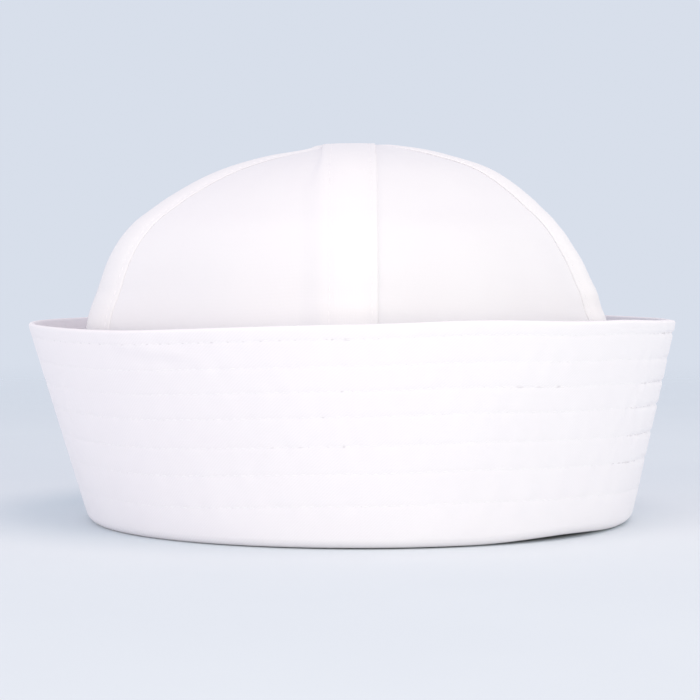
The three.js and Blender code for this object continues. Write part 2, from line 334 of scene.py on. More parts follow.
def row_groove(lines, down):
    """Depth of the grooves that the stitch rows pull into the cloth."""
    away = ramp(*ROW_GROOVE.loose_from, np.abs(from_front(lines.angle)))
    total = 0
    for row, pull, wave in zip(STITCH_ROWS, ROW_PULLS, GROOVE_WAVES):
        loose = ROW_GROOVE.loose * np.maximum(wave_round(wave, lines.angle), 0) * away
        depth = ROW_GROOVE.front + loose + ROW_GROOVE.side * pull * right_side(lines.angle)
        total = total + depth * np.exp(-((down - row) / ROW_GROOVE.width) ** 2)
    return total


def brim_ripple(lines, down):
    """How far the wall stands out from its plain form: rim wave, puckers and the crease at the left."""
    to_fold = 1 - down / lines.wall_length
    ripple = RIM_WAVE * wave_round(RIM_WAVES, lines.angle) * to_fold
    tight = 1 + ROW_PUCKER.right_gain * right_side(lines.angle)
    for row, wave in zip(STITCH_ROWS, ROW_WAVES):
        near = np.exp(-((down - row) / ROW_PUCKER.width) ** 2)
        ripple = ripple + ROW_PUCKER.height * tight * wave_round(wave, lines.angle) * near
    share = (from_front(lines.angle) - LEFT_CREASE.start) / (LEFT_CREASE.end - LEFT_CREASE.start)
    below = down - LEFT_CREASE.down_start - share * (LEFT_CREASE.down_end - LEFT_CREASE.down_start)
    across = below / LEFT_CREASE.width
    hollow = LEFT_CREASE.hollow * np.exp(-(across - LEFT_CREASE.hollow_below) ** 2)
    ridge = np.exp(-across ** 2) - hollow
    crease = LEFT_CREASE.height * rise_and_fall(LEFT_CREASE.shares, share) * ridge
    return (ripple + crease) * ramp(0, CALM_AT_FOLD, to_fold)


def wall_stops(lines):
    """Distances down the wall between which the cloth swells: the rim, the stitch rows and the fold."""
    fixed = [np.full_like(lines.wall_length, stop) for stop in (RIM_ROUND, *STITCH_ROWS)]
    return [*fixed, lines.wall_length]


def wall_places(stops, count):
    """Distances down the wall, close together at each stop, and their shares of the way between stops."""
    shares = 0.5 - 0.5 * np.cos(math.pi * np.arange(count) / count)
    return np.concatenate([a + (b - a) * shares for a, b in zip(stops, stops[1:])], axis=1), shares


def outer_face(lines):
    """Out and up of the wall's outer face, from the rim down, swelling between its stitch rows."""
    stops = wall_stops(lines)
    down, shares = wall_places(stops, OUTER_STATIONS)
    swell = np.tile(QUILT * (1 - np.abs(2 * shares - 1) ** QUILT_FLATNESS), len(stops) - 1)
    return on_wall(lines, down, row_groove(lines, down) - swell - brim_ripple(lines, down))


def inner_face(lines):
    """Out and up of the wall's inner face, from the fold up."""
    down, _ = wall_places(wall_stops(lines)[::-1], INNER_STATIONS)
    return on_wall(lines, down, BRIM_THICKNESS - row_groove(lines, down) - brim_ripple(lines, down))


def brim_section(lines):
    """The brim's closed section at every angle, as out and up."""
    steps = SECTION_STEPS
    rim_turn = np.linspace(0, math.pi, steps.rim + 1)[None, :-1]
    rim_down = RIM_ROUND * (1 - np.sin(rim_turn))
    rim_depth = BRIM_THICKNESS / 2 * (1 + np.cos(rim_turn)) - brim_ripple(lines, rim_down)
    floor_turn = math.asin(1 - FOLD_FLATTENED / FOLD_RADIUS)
    fold_turn = lines.flare + (floor_turn - lines.flare) * np.linspace(0, 1, steps.fold + 1)[None, :]
    up_channel = np.linspace(0, 1, steps.channel + 1)[None, :-1]
    channel_turn = math.pi / 2 + (lines.flare - math.pi / 2) * up_channel
    leg_top = LEG_HEIGHT + lines.lift
    channel_up = lines.fold_up - FOLD_RADIUS + BRIM_THICKNESS
    toe_turn = np.linspace(0, math.pi / 2, steps.toe + 1)[None, :]
    toe = (FOLD_TOE * (1 - np.sin(toe_turn)) + 0 * leg_top, lines.lift + FOLD_TOE * (1 - np.cos(toe_turn)))
    end_turn = np.linspace(0, math.pi, steps.leg_end + 1)[None, :]
    leg_half = LEG_THICKNESS / 2
    leg_end = (
        leg_half * (1 - np.cos(end_turn)) + 0 * leg_top,
        leg_top - leg_half * (1 - np.sin(end_turn)))
    down_leg = np.linspace(LEG_STARTS, 1, steps.leg + 1)[None, :]
    leg_outer = (
        LEG_THICKNESS + 0 * (leg_top * down_leg),
        leg_top - leg_half + (channel_up - leg_top + leg_half) * down_leg)
    pieces = (
        on_wall(lines, rim_down, rim_depth),
        outer_face(lines),
        on_fold(lines, fold_turn, FOLD_RADIUS),
        toe,
        leg_end,
        leg_outer,
        on_fold(lines, channel_turn, FOLD_RADIUS - BRIM_THICKNESS),
        inner_face(lines))
    return [np.concatenate([piece[axis] for piece in pieces], axis=1) for axis in (0, 1)]


def middle_of_the_brim():
    """The middle of the brim's outline in plan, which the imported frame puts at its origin."""
    reach = [float(brim_lines(np.array(angle)).rim_out) for angle in (0, 90, 180, 270)]
    return np.array([HEAD_SHIFT + (reach[1] - reach[3]) / 2, (reach[2] - reach[0]) / 2, 0.0])


MIDDLE = middle_of_the_brim()


# Meshes

def ring_faces(around, along, closed):
    """Quads from loop to loop, closed if the last meets the first, and each corner's place unwrapped."""
    strips = around if closed else around - 1
    i, j = np.meshgrid(np.arange(strips), np.arange(along), indexing="ij")
    corner_i = np.stack([i, i, i + 1, i + 1], axis=-1).reshape(-1, 4)
    corner_j = np.stack([j, j + 1, j + 1, j], axis=-1).reshape(-1, 4)
    quads = (corner_i % around) * along + corner_j % along
    return quads, corner_i, corner_j


def new_object(name, data):
    """An object in the scene."""
    item = bpy.data.objects.new(name, data)
    bpy.context.scene.collection.objects.link(item)
    return item


def add_mesh(name, points, faces, material, corner_uv=None, ply=None, flat_ends=0):
    """A mesh object on the body, from millimetres in the cap's own frame, smooth but for its last faces."""
    mesh = bpy.data.meshes.new(name)
    mesh.from_pydata(((points - MIDDLE) * MM).tolist(), [], faces.tolist())
    mesh.polygons.foreach_set("use_smooth", np.arange(len(faces)) < len(faces) - flat_ends)
    if corner_uv is not None:
        layer = mesh.uv_layers.new(name="weave")
        layer.data.foreach_set("uv", corner_uv.reshape(-1).astype(np.float32))
    # An attribute for the tone of doubled cloth on the crown, and for the painted shade of the marks
    if ply is not None:
        mesh.attributes.new("ply", "FLOAT", "POINT").data.foreach_set("value", ply.astype(np.float32))
    mesh.update()
    if flat_ends:
        edge_of_corner = np.empty(len(mesh.loops), np.int32)
        mesh.loops.foreach_get("edge_index", edge_of_corner)
        sharp = np.zeros(len(mesh.edges), bool)
        sharp[edge_of_corner[-faces.shape[1] * flat_ends:]] = True
        mesh.edges.foreach_set("use_edge_sharp", sharp)
    mesh.materials.append(material)
    piece = new_object(name, mesh)
    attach(piece, BODY)
    return piece


def stitches_along(points, normals):
    """Points and quads of a row of stitches that lies along a path on the cloth."""
    along = np.concatenate([[0], np.cumsum(np.linalg.norm(np.diff(points, axis=0), axis=1))])
    count = int(along[-1] // STITCH_PITCH)
    pitch = along[-1] / count
    share = np.linspace(0, 1, STITCH_RINGS)
    middle = (np.arange(count) + 0.5) * pitch + RANDOM.uniform(-1, 1, count) * STITCH_JITTER
    place = middle[:, None] + (share - 0.5) * pitch * STITCH_SHOWN

    def at(values):
        return np.stack([np.interp(place, along, values[:, axis]) for axis in range(3)], axis=-1)

    normal = unit(at(normals))
    centre = at(points)
    forward = unit(np.gradient(centre, axis=1))
    side = unit(np.cross(normal, forward))
    arch = np.sin(math.pi * share)[None, :, None]
    centre = centre + normal * (STITCH_ARCH * arch - STITCH_SINK)
    centre = centre + side * RANDOM.uniform(-1, 1, (count, 1, 1)) * STITCH_JITTER
    turn = 2 * math.pi * np.arange(STITCH_SIDES)[None, None, :, None] / STITCH_SIDES
    radius = THREAD_RADIUS * (THREAD_SHARE.end + THREAD_SHARE.swell * arch[:, :, None])
    outward = np.cos(turn) * side[:, :, None] + np.sin(turn) * normal[:, :, None]
    ring = centre[:, :, None] + radius * outward

    tube, _, _ = ring_faces(STITCH_RINGS, STITCH_SIDES, closed=False)
    # Each end is a hexagon that two quads close
    first = np.array([(3, 2, 1, 0), (5, 4, 3, 0)])
    last = np.array([(0, 1, 2, 3), (0, 3, 4, 5)]) + (STITCH_RINGS - 1) * STITCH_SIDES
    one = np.concatenate([tube, first, last])
    quads = one[None] + (np.arange(count) * STITCH_RINGS * STITCH_SIDES)[:, None, None]
    return ring.reshape(-1, 3), quads.reshape(-1, 4)


def joined(parts):
    """Several sets of points and faces as one."""
    starts = np.cumsum([0] + [len(points) for points, faces in parts[:-1]])
    points = np.concatenate([points for points, faces in parts])
    faces = np.concatenate([faces + start for (_, faces), start in zip(parts, starts)])
    return points, faces


def make_brim(material):
    angle = np.linspace(0, 360, BRIM_SEGMENTS, endpoint=False)[:, None]
    out, up = brim_section(brim_lines(angle))
    points = round_the_head(np.broadcast_to(angle, out.shape), out, up)
    around, along = out.shape
    quads, corner_i, corner_j = ring_faces(around, along, closed=True)
    step = np.hypot(np.diff(out[0], append=out[0][:1]), np.diff(up[0], append=up[0][:1]))
    length = np.concatenate([[0], np.cumsum(step)])
    girth = 2 * math.pi * (HEAD_HALF_WIDTH + HEAD_HALF_DEPTH) / 2
    corner_uv = np.stack([corner_i * girth / around, length[corner_j]], axis=-1)
    return add_mesh("stitched_brim", points.reshape(-1, 3), quads, material, corner_uv)


def make_brim_stitches(name, material, inside):
    """The seven rows of stitches, on the outer or the inner face of the brim's wall."""
    angle = np.linspace(0, 360, PATH_SEGMENTS + 1)[:, None]
    lines = brim_lines(angle)
    rows = []
    for row in STITCH_ROWS:
        down = np.full_like(angle, row)
        sunk = row_groove(lines, down)
        depth = BRIM_THICKNESS - sunk if inside else sunk
        outward = -1 if inside else 1
        ripple = brim_ripple(lines, down)
        on_cloth = round_the_head(angle, *on_wall(lines, down, depth - ripple))[:, 0]
        above_cloth = round_the_head(angle, *on_wall(lines, down, depth - ripple - outward))[:, 0]
        rows.append(stitches_along(on_cloth, above_cloth - on_cloth))
    points, quads = joined(rows)
    add_mesh(name, points, quads, material)


def painted_shade_marks_on(points, normals, forward, lengths, widths, deepest):
    """Points, triangles and depth of painted shade of small flat dark marks that lie on the cloth."""
    count = len(points)
    side = unit(np.cross(normals, forward))
    turn = 2 * math.pi * np.arange(MARK_SIDES) / MARK_SIDES
    ring = points[:, None] + (
        forward[:, None] * (lengths[:, None] / 2 * np.cos(turn))[..., None]
        + side[:, None] * (widths[:, None] / 2 * np.sin(turn))[..., None])
    above = points + normals * MARK_STANDS
    below = points - normals * MARK_STANDS
    corners = np.concatenate([ring, above[:, None], below[:, None]], axis=1)
    j = np.arange(MARK_SIDES)
    following = (j + 1) % MARK_SIDES
    upper = np.stack([j, following, np.full_like(j, MARK_SIDES)], axis=-1)
    lower = np.stack([following, j, np.full_like(j, MARK_SIDES + 1)], axis=-1)
    one = np.concatenate([upper, lower])
    triangles = one[None] + (np.arange(count) * (MARK_SIDES + 2))[:, None, None]
    # Painted shade: none at each mark's edge, darkest at its middle
    tone = np.zeros((count, MARK_SIDES + 2))
    tone[:, MARK_SIDES:] = deepest
    return corners.reshape(-1, 3), triangles.reshape(-1, 3), tone.reshape(-1)


def on_row(angle, row):
    """Points on a stitch row of the brim's outer face, with the outward and forward directions there."""
    def at(turn, out):
        lines = brim_lines(turn)
        down = np.full_like(turn, STITCH_ROWS[row])
        depth = row_groove(lines, down) - brim_ripple(lines, down) - out
        return round_the_head(turn, *on_wall(lines, down, depth))

    points = at(angle, MARK_LIFT)
    outward = unit(at(angle, MARK_OUT) - points)
    return points, outward, unit(at(angle + MARK_AHEAD, MARK_LIFT) - points)


def make_painted_shade_marks(material):
    """Painted shade as faint dark marks: of the needle holes along the brim's rows, of pulled stitches, and
    of the creases at the right end.
    """
    parts = []
    # Painted shade of the needle holes along each row
    for row in range(len(STITCH_ROWS)):
        mark = FIRST_ROW_HOLE_SHADE if row == 0 else NEEDLE_HOLE_SHADE
        count = int(2 * math.pi * (HEAD_HALF_WIDTH + OUTER_AT_FLOOR) / mark.pitch)
        angle = (np.arange(count) + RANDOM.uniform(-MARK_JITTER, MARK_JITTER, count)) * 360 / count
        size = mark.least + mark.spread * RANDOM.uniform(0, 1, count) ** MARK_RARITY
        if row == 0:
            large = rise_and_fall(mark.large, from_front(angle))
            size = size * (mark.elsewhere + (1 - mark.elsewhere) * large)
        parts.append(painted_shade_marks_on(*on_row(angle, row), mark.length * size, mark.width * size, mark.tone))
    # Painted shade of the pulled stitches
    for angle, row, length, width, tilt in STITCH_PULL_SHADOWS:
        points, normals, forward = on_row(np.array([float(angle)]), row)
        tilted = forward * cosine(tilt) + np.cross(normals, forward) * sine(tilt)
        size = (np.array([length]), np.array([width]))
        parts.append(painted_shade_marks_on(points, normals, tilted, *size, STITCH_PULL_SHADE))
    # Painted shade along the creases at the right end
    mark = CREASE_SHADE_MARK
    for row, start, end in CREASE_SHADE_ROWS:
        angle = np.arange(start, end, mark.turn)
        half_turn = math.pi * (angle - start + mark.turn) / (end - start + 2 * mark.turn)
        size = np.sin(half_turn) ** 0.5
        parts.append(painted_shade_marks_on(*on_row(angle, row), mark.length * size, mark.width * size, mark.tone))
    points, triangles = joined([part[:2] for part in parts])
    tone = np.concatenate([part[2] for part in parts])
    count = len(triangles)
    # The marks' painted shade rides on the same attribute that holds doubled cloth on the crown
    add_mesh("brim_painted_shade_marks", points, triangles, material, ply=tone, flat_ends=count)


# Crown

def drawn_out(table):
    """The crown's sections, drawn out to close rows along a smooth meridian: one array for each column."""
    column = {name: table[:, k] for k, name in enumerate(CROWN_COLUMNS)}
    chords = np.hypot(np.diff(column["depth"]), np.diff(column["height"]))
    known = np.concatenate([[0], np.cumsum(chords)])
    along = np.linspace(0, known[-1], int(known[-1] / ROW_STEP) + 1)
    rows = {"along": along[:, None]}
    for name, values in column.items():
        if name in STEPPED_COLUMNS:
            rows[name] = np.interp(along, known, values)[:, None]
        else:
            rows[name] = through(along, known, values)[:, None]
    return Values(**rows)


def through(places, known, values):
    """A smooth curve through known values."""
    slope = np.gradient(values, known)
    i = np.clip(np.searchsorted(known, places, side="right") - 1, 0, len(known) - 2)
    width = known[i + 1] - known[i]
    t = (places - known[i]) / width
    start = (1 + 2 * t) * (1 - t) ** 2 * values[i] + t * (1 - t) ** 2 * width * slope[i]
    end = t ** 2 * (3 - 2 * t) * values[i + 1] + t ** 2 * (t - 1) * width * slope[i + 1]
    return start + end


def hexagon(angle):
    """How far a hexagon with corners at the seams lies from the middle, rounded off at its corners."""
    starts = np.array([gore.start for gore in GORES])
    halves = np.array([(gore.end - gore.start) / 2 for gore in GORES])
    offsets = np.linspace(-CORNER.reach, CORNER.reach, CORNER.samples)
    total = 0
    for offset in offsets:
        turned = np.mod(angle + offset, 360)
        which = np.searchsorted([gore.end for gore in GORES], turned)
        total = total + cosine(halves[which]) / cosine(turned - starts[which] - halves[which])
    return total / len(offsets)


def crown_point(rows, angle):
    """A point of the crown's outer face, one layer thick, on its rows and at an angle."""
    reach = 1 - rows.flat * (1 - hexagon(angle))
    on_left = sine(angle) < 0
    side_reach = 1 - rows.flat * (1 - hexagon(np.where(on_left, 270.0, 90.0)))
    width = np.where(on_left, rows.left, rows.right)
    x = rows.shift + width * reach * sine(angle) / side_reach
    y = -rows.depth * reach * cosine(angle)
    top = TOP.raised * ramp(*TOP.heights, rows.height) * ramp(*TOP.from_left, x)
    z = rows.height + rows.fold * round_the_cap("lift", angle) + top
    return np.stack(np.broadcast_arrays(x, y, z), axis=-1)


def moved_rows(rows, step):
    """Each row's neighbour, above or below."""
    count = len(rows.along)
    index = np.clip(np.arange(count) + step, 0, count - 1)
    return Values(**{name: values[index] for name, values in vars(rows).items()})


def crown_normal(rows, angle):
    turn = 1.0
    across = crown_point(rows, angle + turn) - crown_point(rows, angle - turn)
    up = crown_point(moved_rows(rows, 1), angle) - crown_point(moved_rows(rows, -1), angle)
    return unit(np.cross(across, up))


def is_middle(seam):
    return seam % 180 == 0


def seam_scale(rows, seam):
    """Millimetres to a degree beside a side seam."""
    turn = 2.0
    angle = np.full_like(rows.along, seam)
    span = crown_point(rows, angle + turn) - crown_point(rows, angle - turn)
    return np.linalg.norm(span, axis=-1) / (2 * turn)


def seam_width(rows, seam, sideways):
    return np.where(sideways * cosine(seam) < 0, rows.left, rows.right)


def angle_beside(rows, seam, distance):
    """Angle of a line that runs beside a seam at a distance. Beside the middle seam it stays straight."""
    if is_middle(seam):
        share = np.clip(distance / seam_width(rows, seam, distance), -1, 1)
        return seam + np.degrees(np.arcsin(share))
    return seam + distance / seam_scale(rows, seam)


def distance_beside(rows, seam, angle):
    """Distance from a seam of the points at an angle."""
    if is_middle(seam):
        return seam_width(rows, seam, angle - seam) * sine(np.clip(angle - seam, -90, 90))
    return (angle - seam) * seam_scale(rows, seam)


def inwards(side):
    return 1 if side == "start" else -1


def edge_columns(rows, gore, side, share):
    """Angles and rises of four columns beside one of a gore's seams, from its edge inwards."""
    seam = getattr(gore, side)
    over = side in gore.over
    strip = over and is_middle(seam)
    lap_share = np.ones_like(rows.lap) if strip else rows.lap
    lift = np.ones_like(rows.lift) if strip else rows.lift
    rise = lift * (CLOTH + PLY_GAP) * over * smooth(lap_share)
    lap = np.where(lap_share > 0, LAP_HALF * lap_share, -BUTT_GAP / 2)
    shoulder = np.maximum(lap, 0) + LAP_CLEAR
    sign = inwards(side)

    def turn_to(distance):
        return sign * (angle_beside(rows, seam, sign * distance) - seam)

    edge = turn_to(-lap)
    step = np.full_like(rows.lap, LAP_STEP)
    if strip:
        steep = ramp(*STRIP.steep, rows.height)
        step = STRIP.step * (1 - (1 - STRIP.steep_share) * steep)
    foot = turn_to(shoulder + step)
    squeeze = np.minimum(1, share * (gore.end - gore.start) / foot)
    top = np.minimum(turn_to(shoulder), SHOULDER_LIMIT * foot) * squeeze
    turns = np.concatenate([edge, (edge + top) / 2, top, foot * squeeze], axis=1)
    rises = np.concatenate([rise, rise, rise, 0 * rise], axis=1)
    return seam + sign * turns, rises


def strip_side(gore):
    """The side of a gore that carries the middle seam's strip, if any."""
    for side in gore.over:
        if is_middle(getattr(gore, side)):
            return side
    return None


def gore_columns(rows, gore):
    """Angles and rises of a gore's main columns across every row."""
    strip = strip_side(gore)
    beside = ROOM.beside_strip + ROOM.beside_strip_lap * rows.lap

    def share(side):
        if strip is None:
            return ROOM.plain
        return ROOM.strip if side == strip else beside

    first, first_rise = edge_columns(rows, gore, "start", share("start"))
    last, last_rise = edge_columns(rows, gore, "end", share("end"))
    shares = np.arange(1, GORE_INNER_COLUMNS) / GORE_INNER_COLUMNS
    between = first[:, -1:] + (last[:, -1:] - first[:, -1:]) * shares
    angles = np.concatenate([first, between, last[:, ::-1]], axis=1)
    rises = np.concatenate([first_rise, 0 * between, last_rise[:, ::-1]], axis=1)
    return angles, rises


def edge_places(fine):
    """Places of fine columns among a seam's four main ones, from the edge inwards."""
    steps = FINE_EDGE_STEPS if fine else PLAIN_EDGE_STEPS
    to_middle = np.concatenate([EDGE_SHARES, np.linspace(EDGE_SHARES[-1], 1, steps + 1)[1:]])
    to_top = 1 + np.arange(1, steps + 1) / steps
    to_foot = 2 + np.arange(1, SHOULDER_STEPS + 1) / SHOULDER_STEPS
    return np.concatenate([to_middle, to_top, to_foot])


def gore_places(gore, main_count):
    """Places of a gore's fine columns among its main ones."""
    first = edge_places("start" in gore.over)
    last = main_count - 1 - edge_places("end" in gore.over)[::-1]
    count = int(round(last[0] - first[-1])) * INNER_STEPS
    between = np.linspace(first[-1], last[0], count + 1)[1:-1]
    return np.concatenate([first, between, last])


def at_places(main, places, ease):
    """Values of the main columns at the fine columns' places."""
    i = np.minimum(places.astype(int), main.shape[1] - 2)
    share = places - i
    if ease:
        share = smooth(share)
    return main[:, i] + (main[:, i + 1] - main[:, i]) * share


def strip_top_rows(gore, places, main_count):
    """Points of the strip's rows on the top of the crown, from its gore to the middle of the top."""
    side = strip_side(gore)
    towards = -cosine(getattr(gore, side))
    from_shoulder = [STRIP.shoulder, 0, 1]
    crowd = np.linspace(STRIP.left, STRIP.crowd, main_count - len(from_shoulder))
    main = np.concatenate([crowd, from_shoulder])
    if side == "start":
        main = main[::-1]
    x = LAP_HALF * at_places(main[None], places, False)[0]
    start, end = TIPS
    depth = start[CROWN_COLUMNS.index("depth")]
    first_up = np.full_like(x, start[0] + TOP.raised)
    last_up = end[0] + TOP.raised - STRIP.dome * (x / LAP_HALF) ** 2
    first = np.stack([x, towards * np.sqrt(depth ** 2 - x ** 2), first_up], axis=-1)
    last = np.stack([x, np.full_like(x, towards * STRIP.butt_gap / 2), last_up], axis=-1)
    return first, last


CROWN_WAVES = Values(
    direction=unit(RANDOM.normal(size=(CROWN_WAVE.count, 3))),
    length=RANDOM.uniform(*CROWN_WAVE.lengths, CROWN_WAVE.count),
    phase=RANDOM.uniform(0, 2 * math.pi, CROWN_WAVE.count))
SEAM_WAVES = {
    gore.start: (
        RANDOM.uniform(*SEAM_PUCKER.lengths, SEAM_PUCKER.count),
        RANDOM.uniform(0, 2 * math.pi, SEAM_PUCKER.count))
    for gore in GORES}


def crown_ripple(points):
    """Soft unevenness of the crown's cloth, the same for layers that lie on each other."""
    turns = points @ (CROWN_WAVES.direction.T * (2 * math.pi / CROWN_WAVES.length)) + CROWN_WAVES.phase
    total = np.sin(turns).sum(axis=-1) * math.sqrt(2 / CROWN_WAVE.count)
    return CROWN_WAVE.height * total * ramp(*CROWN_WAVE.begins, points[..., 2])


def seam_pucker(seam, along, distance, height):
    """Small puckers that the stitches draw up beside a seam."""
    lengths, phases = SEAM_WAVES[seam % 360]
    total = np.sin(2 * math.pi * along[..., None] / lengths + phases).sum(axis=-1)
    reach = np.exp(-(distance / SEAM_PUCKER.reach) ** 2)
    upright = rise_and_fall(SEAM_PUCKER.heights, height)
    return SEAM_PUCKER.height * total * math.sqrt(2 / SEAM_PUCKER.count) * reach * upright


def seam_groove(distance, half_lap):
    """The groove along each of a lapped seam's two rows of stitches."""
    from_row = np.abs(distance) - (half_lap - SEAM_STITCH.inset)
    return SEAM_GROOVE.depth * np.exp(-(from_row / SEAM_GROOVE.width) ** 2)


def valley(seam, distance, height):
    """The hollow in front of the right side seam."""
    if seam != VALLEY.seam:
        return 0 * distance
    across = -distance - LAP_HALF
    reach = np.where(across > 0, VALLEY.reach, VALLEY.under_lap)
    return VALLEY.depth * np.exp(-(across / reach) ** 2) * rise_and_fall(VALLEY.heights, height)


def gore_surface(gore):
    """A gore's fine grid: the middle of its cloth, its outward direction, thickness, tone and seams."""
    strip = strip_side(gore)
    rows = drawn_out(CROWN if strip else np.concatenate([CROWN, TIPS]))
    main_angles, main_rises = gore_columns(rows, gore)
    places = gore_places(gore, main_angles.shape[1])
    angle = at_places(main_angles, places, False)
    rise = at_places(main_rises, places, True)
    base = crown_point(rows, angle)
    normal = crown_normal(rows, angle)
    along = np.broadcast_to(rows.along, angle.shape)
    lap = np.broadcast_to(rows.lap, angle.shape)
    distance = {}
    for side in ("start", "end"):
        distance[side] = inwards(side) * distance_beside(rows, getattr(gore, side), angle)
    if strip:
        share = np.arange(1, STRIP_TOP_STEPS + 1)[:, None] / STRIP_TOP_STEPS
        first, last = strip_top_rows(gore, places, main_angles.shape[1])
        onto = base[-1] + (first - base[-1]) * share[..., None]
        across = first + (last - first) * share[..., None]
        across[..., 2] = last[:, 2] + (first - last)[:, 2] * (1 - share) ** 2
        straight_up = np.broadcast_to((0.0, 0.0, 1.0), onto.shape)
        turned = unit(normal[-1] + (straight_up - normal[-1]) * share[..., None])
        on_top = CLOTH + PLY_GAP
        onto_rise = rise[-1] + (on_top - rise[-1]) * smooth(share)
        sideways = np.concatenate([onto, across])[..., 0]
        further = ROW_STEP * np.arange(1, 2 * STRIP_TOP_STEPS + 1)[:, None]
        base = np.concatenate([base, onto, across])
        normal = np.concatenate([normal, turned, straight_up])
        rise = np.concatenate([rise, onto_rise, np.full_like(onto_rise, on_top)])
        along = np.concatenate([along, along[-1:] + further])
        lap = np.concatenate([lap, np.zeros_like(sideways)])
        for side in distance:
            from_seam = -sideways if side == strip else np.full_like(sideways, FAR_FROM_SEAM)
            distance[side] = np.concatenate([distance[side], from_seam])

    relief = crown_ripple(base)
    ply = np.zeros_like(rise)
    for side, away in distance.items():
        seam = getattr(gore, side)
        lapped = np.ones_like(lap) if is_middle(seam) else lap
        half_lap = LAP_HALF * lapped
        relief = relief + seam_pucker(seam, along, away, base[..., 2])
        relief = relief - valley(seam, inwards(side) * away, base[..., 2])
        relief = relief - seam_groove(away, half_lap) * ramp(*SEAM_GROOVE.laps, lapped)
        tone = doubled(seam, away, half_lap, side in gore.over) * ramp(*DOUBLED.laps, lapped)
        ply = np.maximum(ply, tone * (DOUBLED.on_strip if is_middle(seam) else 1))
    half = CLOTH / 2 * pressed(gore, base)
    middle = base + normal * (rise - CLOTH + half + relief)[..., None]
    return Values(
        middle=middle, normal=normal, half=half[..., None], distance=distance, ply=ply, along=along, lap=lap)


def doubled(seam, away, half_lap, over):
    """1 where a gore lies double along a seam, fading where the lap's edge shows softly."""
    if not over:
        return 1 - ramp(half_lap - DOUBLED.under_fade, half_lap, away)
    inner_side = 1 - ramp(half_lap - DOUBLED.over_fade, half_lap + DOUBLED.past_lap, away)
    if is_middle(seam):
        return inner_side
    from_edge = ramp(-half_lap, DOUBLED.edge_reach - half_lap, away)
    return inner_side * (DOUBLED.edge + (1 - DOUBLED.edge) * from_edge)


def pressed(gore, points):
    """Share of the cloth's thickness: all of it, but for the edges, which are pressed thin."""
    steps = np.linalg.norm(np.diff(points, axis=1), axis=-1)
    from_start = np.concatenate([np.zeros((len(points), 1)), np.cumsum(steps, axis=1)], axis=1)
    from_end = from_start[:, -1:] - from_start
    share = 1
    for seam, from_edge in ((gore.start, from_start), (gore.end, from_end)):
        soft = seam == SEAM.front_left
        reach = PRESSED.soft if soft else PRESSED.middle if is_middle(seam) else PRESSED.side
        least = PRESSED.least_soft if soft else PRESSED.least
        curve = np.sqrt(1 - (1 - np.clip(from_edge / reach, 0, 1)) ** 2)
        share = np.minimum(share, least + (1 - least) * curve)
    return share


def make_gore(gore, surface, material):
    """A gore's closed cloth: outer face, inner face and the edges between them."""
    outer = surface.middle + surface.normal * surface.half
    inner = surface.middle - surface.normal * surface.half
    loops = np.concatenate([outer, inner[:, ::-1]], axis=1)
    count, columns = outer.shape[:2]
    quads, corner_i, corner_j = ring_faces(count, 2 * columns, closed=False)
    j = np.arange(columns - 1)
    bottom = np.stack([2 * columns - 1 - j, 2 * columns - 2 - j, j + 1, j], axis=-1)
    top = bottom[:, ::-1] + (count - 1) * 2 * columns
    width = np.linalg.norm(np.diff(loops[0], axis=0, append=loops[0][:1]), axis=-1)
    across = np.concatenate([[0], np.cumsum(width)])
    corner_uv = np.stack([across[corner_j], surface.along[corner_i, 0]], axis=-1)
    ends = len(bottom) + len(top)
    quads = np.concatenate([quads, bottom, top])
    corner_uv = np.concatenate([corner_uv, np.zeros((ends, 4, 2))])
    ply = np.concatenate([surface.ply, surface.ply[:, ::-1]], axis=1).reshape(-1)
    name = "crown_cloth_" + gore.name
    piece = add_mesh(name, loops.reshape(-1, 3), quads, material, corner_uv, ply, ends)
    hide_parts("crown_gore_" + gore.name)


def seam_paths(gore, surface):
    """Paths of the two rows of stitches along each seam where a gore lies on top."""
    outer = surface.middle + surface.normal * surface.half
    paths = []
    for side in gore.over:
        lap = np.ones(len(outer)) if side == strip_side(gore) else surface.lap[:, 0]
        kept = (outer[:, 0, 2] > SEAM_STITCH.lowest) & (lap > SEAM_STITCH.least_lap)
        inset = LAP_HALF * lap[kept] - SEAM_STITCH.inset
        distance = surface.distance[side][kept]
        order = inwards(side)
        for sign in (1, -1):
            points = across_rows(distance, outer[kept], sign * inset, order)
            normals = across_rows(distance, surface.normal[kept], sign * inset, order)
            paths.append((points, normals))
    return paths


def across_rows(distances, values, places, order):
    """Values of each row where it passes its place beside the seam."""
    return np.array([
        [np.interp(place, distance[::order], row[::order, axis]) for axis in range(3)]
        for distance, row, place in zip(distances, values, places)])


# Materials

WAVE_TURN = 2 * math.pi / 20
DIAGONAL_TURN = 2 * math.pi / 10
MIX_FIRST = 6
MIX_SECOND = 7
MIX_RESULT = 2
THREAD_RELIEF = 0.06
STRAND_PITCH = 0.35
MATT = {"Roughness": 0.95, "Specular IOR Level": 0.1}
COTTON = {"Sheen Weight": 0.12, "Sheen Roughness": 0.55, "Specular IOR Level": 0.25}
# Cloth whites; between the threads their colour is darkened by painted shade
BRIM_WHITE = Values(
    light=(0.884, 0.853, 0.886, 1), shade=(0.856, 0.822, 0.862, 1), between_threads=0.955, doubled=None)
CROWN_WHITE = Values(
    light=(0.806, 0.795, 0.828, 1), shade=(0.788, 0.772, 0.808, 1), between_threads=0.96,
    doubled=(0.840, 0.822, 0.845, 1))
THREAD_WHITE = Values(light=(0.89, 0.865, 0.892, 1), shade=(0.82, 0.80, 0.83, 1))
# Painted shade of the brim's small dark marks, from their pale edge to their dark middle
MARK_PAINTED_SHADE = Values(edge=(0.865, 0.835, 0.87, 1), deepest=(0.54, 0.50, 0.54, 1))


def new_material(name):
    material = bpy.data.materials.new(name)
    material.use_nodes = True
    tree = material.node_tree
    return material, tree, tree.nodes["Principled BSDF"]


